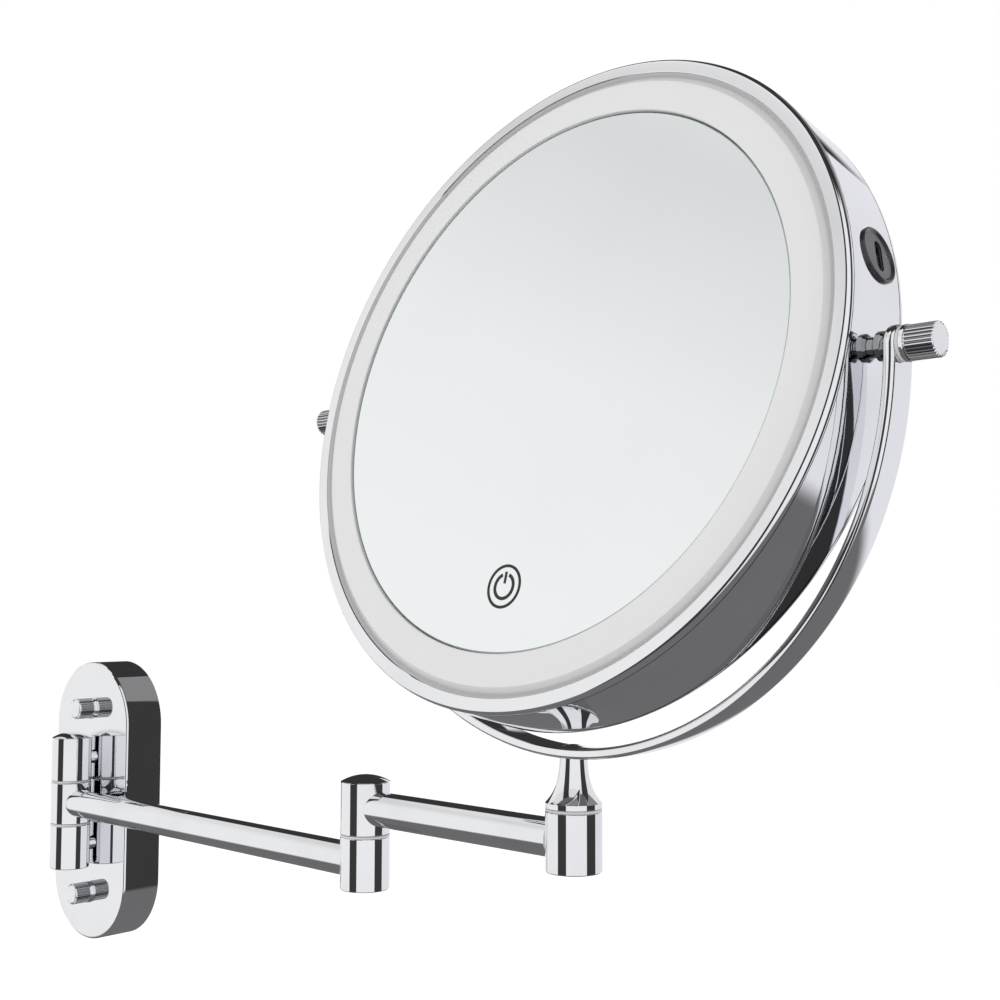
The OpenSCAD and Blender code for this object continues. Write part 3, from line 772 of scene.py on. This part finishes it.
class MIRROR_OT_tilt_knobs(Operator):
    """Knurl the two knobs that clamp the tilt"""

    bl_idname = "mirror.tilt_knobs"
    bl_label = "Tilt Knobs"

    def execute(self, context):
        sizes = context.scene.mirror_sizes
        start = BAND_OUTER + WASHER_THICKNESS
        shank_radius, shank_tip, shank_root = 2.5, 97.3, 117.6
        shank = [
            (0, shank_tip),
            (shank_radius - 0.3, shank_tip),
            (shank_radius, shank_tip + 0.3),
            (shank_radius, shank_root),
            (0, shank_root),
        ]
        for name, node, side in (
            ("tilt_knob_right", "pivot_knob_right", 0),
            ("tilt_knob_left", "pivot_knob_left", math.pi),
        ):
            place = HEAD_FRAME @ Matrix.Rotation(side, 4, "Z") @ ALONG_X
            bm = bmesh.new()
            collar = [
                (0, start),
                (4.8, start),
                (5.05, start + 0.25),
                (5.05, start + 1.0),
                (4.8, start + 1.25),
                (4.35, start + 1.3),
                (4.35, start + 1.7),
                (0, start + 1.7),
            ]
            turn(bm, collar, place, sizes.round_steps)
            turn(bm, shank, place, sizes.round_steps // 2)
            knurled_bar(
                bm,
                place,
                sizes.knob_radius,
                sizes.knurl_depth,
                sizes.knob_teeth,
                base=start + 1.6,
                length=8.1,
                chamfer=0.3,
            )
            body = "knob_right" if side == 0 else "knob_left"
            # The second material paints shade in the knurl grooves.
            looks = [finish_for("polished"), finish_for("grooves")]
            finish_piece(name, bm, body, looks, [node], 25)
        return {"FINISHED"}


class MIRROR_OT_spindle(Operator):
    """Turn the flared spindle under the half ring"""

    bl_idname = "mirror.spindle"
    bl_label = "Spindle"

    def execute(self, context):
        base, rim = 29.8, 1.8
        neck, spread, decay, bite, steps = 4.1, 4.9, 4.8, 0.25, 40
        top = PIVOT.z / MM - BAND_OUTER
        flare = []
        for i in range(steps + 1):
            z = (top + bite - base - rim) * i / steps
            flare.append((neck + spread * math.exp(-z / decay), base + rim + z))
        outline = [(4.0, base), (8.8, base), (9.0, base + 0.2), *flare]
        outline += [(0.0, flare[-1][1])]
        shank = [(0, 12.4), (2.7, 12.4), (3.0, 12.7), (3.0, 17.95), (4.0, 17.95)]
        bm = bmesh.new()
        place = Matrix.Translation((PIVOT.x, PIVOT.y, 0))
        turn(bm, shank + outline, place, context.scene.mirror_sizes.round_steps)
        looks = [finish_for("polished")]
        finish_piece("flared_spindle", bm, "yoke", looks, ["yoke_spindle"], 35)
        return {"FINISHED"}


class MIRROR_OT_caps(Operator):
    """Turn the domed caps of the knuckle and the elbow"""

    bl_idname = "mirror.caps"
    bl_label = "Domed Caps"

    def execute(self, context):
        steps = context.scene.mirror_sizes.round_steps
        cap_radius, plug_radius, dome_steps = 9.0, 5, 20
        for name, node, body, spot, base in (
            ("knuckle_dome", "knuckle_cap", "wall_mount", KNUCKLE, 30.0),
            ("elbow_dome", "elbow_cap", "outer_arm", ELBOW, 29.0),
        ):
            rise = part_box(node)[1][2] / MM - base
            sphere = (cap_radius * cap_radius + rise * rise) / (2 * rise)
            dome = []
            for i in range(dome_steps + 1):
                x = cap_radius * (1 - i / dome_steps)
                dome.append((x, base + math.sqrt(sphere * sphere - x * x) - (sphere - rise)))
            bm = bmesh.new()
            place = Matrix.Translation((spot.x, spot.y, 0))
            plug = [(0, base - 2), (plug_radius, base - 2), (plug_radius, base)]
            turn(bm, plug + dome, place, steps)
            finish_piece(name, bm, body, [finish_for("polished")], [node], 35)
        return {"FINISHED"}


class MIRROR_OT_stage(Operator):
    """Set the pale floor, the studio surroundings, the soft light and the camera"""

    bl_idname = "mirror.stage"
    bl_label = "Stage"

    def execute(self, context):
        look = context.scene.studio_look
        bm = bmesh.new()
        bmesh.ops.create_grid(bm, x_segments=8, y_segments=8, size=FLOOR_SIZE_M)
        bmesh.ops.translate(bm, verts=bm.verts, vec=(0, 0, FLOOR_HEIGHT_M))
        mesh = bpy.data.meshes.new("floor")
        bm.to_mesh(mesh)
        bm.free()
        floor = bpy.data.objects.new("floor", mesh)
        context.collection.objects.link(floor)
        material, g, shader, coords = start_material("pale_floor")
        noise = g.add("ShaderNodeTexNoise")
        noise.inputs["Scale"].default_value = 3.0
        g.link(coords, noise.inputs["Vector"])
        paint = g.mix(noise.outputs["Fac"], (0.93, 0.93, 0.93), (0.95, 0.95, 0.95))
        g.link(paint, shader.inputs["Base Color"])
        shader.inputs["Roughness"].default_value = 0.9
        shader.inputs["Emission Color"].default_value = (1, 1, 1, 1)
        shader.inputs["Emission Strength"].default_value = 0.3
        mesh.materials.append(material)
        floor.visible_glossy = False
        self.surroundings(context, look)
        lamp = bpy.data.lights.new("overhead_light", "AREA")
        lamp.shape = "DISK"
        lamp.size = 1.6
        lamp.energy = look.overhead
        light = bpy.data.objects.new("overhead_light", lamp)
        light.location = LAMP_PLACE_M
        aim = Vector(LAMP_TARGET_M) - light.location
        light.rotation_euler = aim.to_track_quat("-Z", "Y").to_euler()
        light.visible_glossy = False
        context.collection.objects.link(light)
        self.camera(context)
        context.scene.view_settings.view_transform = "Standard"
        return {"FINISHED"}

    def surroundings(self, context, look):
        """White walls, dark strips, a dark far ceiling and a grey ground, for reflections."""
        world = bpy.data.worlds.new("studio")
        context.scene.world = world
        world.use_nodes = True
        g = Graph(world.node_tree)
        background = world.node_tree.nodes["Background"]
        coords = g.add("ShaderNodeTexCoord")
        axes = g.add("ShaderNodeSeparateXYZ")
        g.link(coords.outputs["Generated"], axes.inputs[0])
        bearing = g.math("ARCTAN2", axes.outputs[0], axes.outputs[1])
        height = axes.outputs[2]

        def sector(name, soft=0.8):
            """Mask of one named sector, with a soft border in degrees."""
            low, high = SECTORS[name]
            middle, half = math.radians((low + high) / 2), (high - low) / 2
            wrap = g.add("ShaderNodeMath", operation="WRAP")
            g.link(g.math("SUBTRACT", bearing, middle), wrap.inputs[0])
            wrap.inputs[1].default_value = math.pi
            wrap.inputs[2].default_value = -math.pi
            away = g.math("ABSOLUTE", wrap.outputs[0])
            return g.fade(away, math.radians(half - soft), math.radians(half + soft), 1.0, 0.0)

        def grey(value, tint=1.0):
            """A grey whose blue can be raised a little."""
            return (value, value, value * tint)

        soft_box = g.add("ShaderNodeValToRGB")
        ramp = soft_box.color_ramp
        ramp.elements[0].position = 0.36
        ramp.elements[0].color = (*grey(look.wall), 1)
        ramp.elements[1].position = 0.8
        ramp.elements[1].color = (*grey(look.wall), 1)
        for position, share in ((0.5, 0.96), (0.635, 0.8)):
            ramp.elements.new(position).color = (*grey(look.wall * share), 1)
        g.link(height, soft_box.inputs["Fac"])
        colour = g.mix(sector("left_wall"), grey(look.wall, 1.01), soft_box.outputs["Color"])
        colour = g.mix(sector("back_wall"), colour, grey(look.wall * 0.9, 1.04))
        high_right = g.math("MULTIPLY", sector("high_right"), g.fade(height, *LEVELS["high_right"]))
        colour = g.mix(high_right, colour, grey(look.wall * 0.28))
        high_far = g.math("MULTIPLY", sector("far_left"), g.fade(height, *LEVELS["far_left"]))
        high_back = g.math("MULTIPLY", sector("high_back"), g.fade(height, *LEVELS["high_back"]))
        colour = g.mix(g.math("MAXIMUM", high_far, high_back), colour, grey(look.ceiling))
        strips = g.math("MAXIMUM", sector("near_strip"), sector("right_strip"))
        colour = g.mix(strips, colour, grey(look.strips))
        colour = g.mix(g.fade(height, *LEVELS["ceiling"]), colour, grey(look.ceiling))
        near_ground = g.fade(height, *LEVELS["near_ground"])
        far_ground = g.math("MULTIPLY", sector("far_left"), g.fade(height, *LEVELS["far_ground"]))
        colour = g.mix(g.math("MAXIMUM", near_ground, far_ground), colour, grey(look.ground, 1.03))
        path = g.add("ShaderNodeLightPath")
        colour = g.mix(path.outputs["Is Diffuse Ray"], colour, grey(look.fill))
        colour = g.mix(path.outputs["Is Camera Ray"], colour, grey(look.backdrop))
        g.link(colour, background.inputs["Color"])

    def camera(self, context):
        """The camera, a little right of the mirror and turned towards it."""
        data = bpy.data.cameras.new("camera")
        data.lens = CAMERA_LENS_MM
        data.sensor_width = 36
        data.clip_start = 0.01
        camera = bpy.data.objects.new("camera", data)
        camera.location = CAMERA_PLACE_M
        forward = Vector(CAMERA_AIM)
        turned = forward.to_track_quat("-Z", "Y").to_matrix().to_4x4()
        roll = Matrix.Rotation(math.radians(CAMERA_ROLL_DEGREES), 4, "Z")
        camera.rotation_euler = (turned @ roll).to_euler()
        context.collection.objects.link(camera)
        context.scene.camera = camera


STEPS = (
    MIRROR_OT_finishes,
    MIRROR_OT_rims,
    MIRROR_OT_light_ring,
    MIRROR_OT_half_ring,
    MIRROR_OT_thumb_nuts,
    MIRROR_OT_tilt_knobs,
    MIRROR_OT_spindle,
    MIRROR_OT_caps,
    MIRROR_OT_stage,
)


class MIRROR_PT_pieces(Panel):
    """Sidebar list of the pieces and their settings"""

    bl_idname = "MIRROR_PT_pieces"
    bl_label = "Folding Shaving Mirror"
    bl_space_type = "VIEW_3D"
    bl_region_type = "UI"
    bl_category = "Mirror"

    def draw(self, context):
        column = self.layout.column()
        for group in ("mirror_sizes", "mirror_colours", "studio_look"):
            settings = getattr(context.scene, group)
            for key in settings.bl_rna.properties.keys():
                if key not in ("name", "rna_type"):
                    column.prop(settings, key)
        for step in STEPS:
            column.operator(step.bl_idname)


CLASSES = (MirrorSizes, MirrorColours, StudioLook, *STEPS, MIRROR_PT_pieces)


def register():
    for cls in CLASSES:
        bpy.utils.register_class(cls)
    bpy.types.Scene.mirror_sizes = PointerProperty(type=MirrorSizes)
    bpy.types.Scene.mirror_colours = PointerProperty(type=MirrorColours)
    bpy.types.Scene.studio_look = PointerProperty(type=StudioLook)


def unregister():
    del bpy.types.Scene.studio_look
    del bpy.types.Scene.mirror_colours
    del bpy.types.Scene.mirror_sizes
    for cls in reversed(CLASSES):
        bpy.utils.unregister_class(cls)


def main():
    """Registers the add-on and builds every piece."""
    register()
    for step in STEPS:
        getattr(bpy.ops.mirror, step.bl_idname.split(".")[1])()


if __name__ == "__main__":
    main()
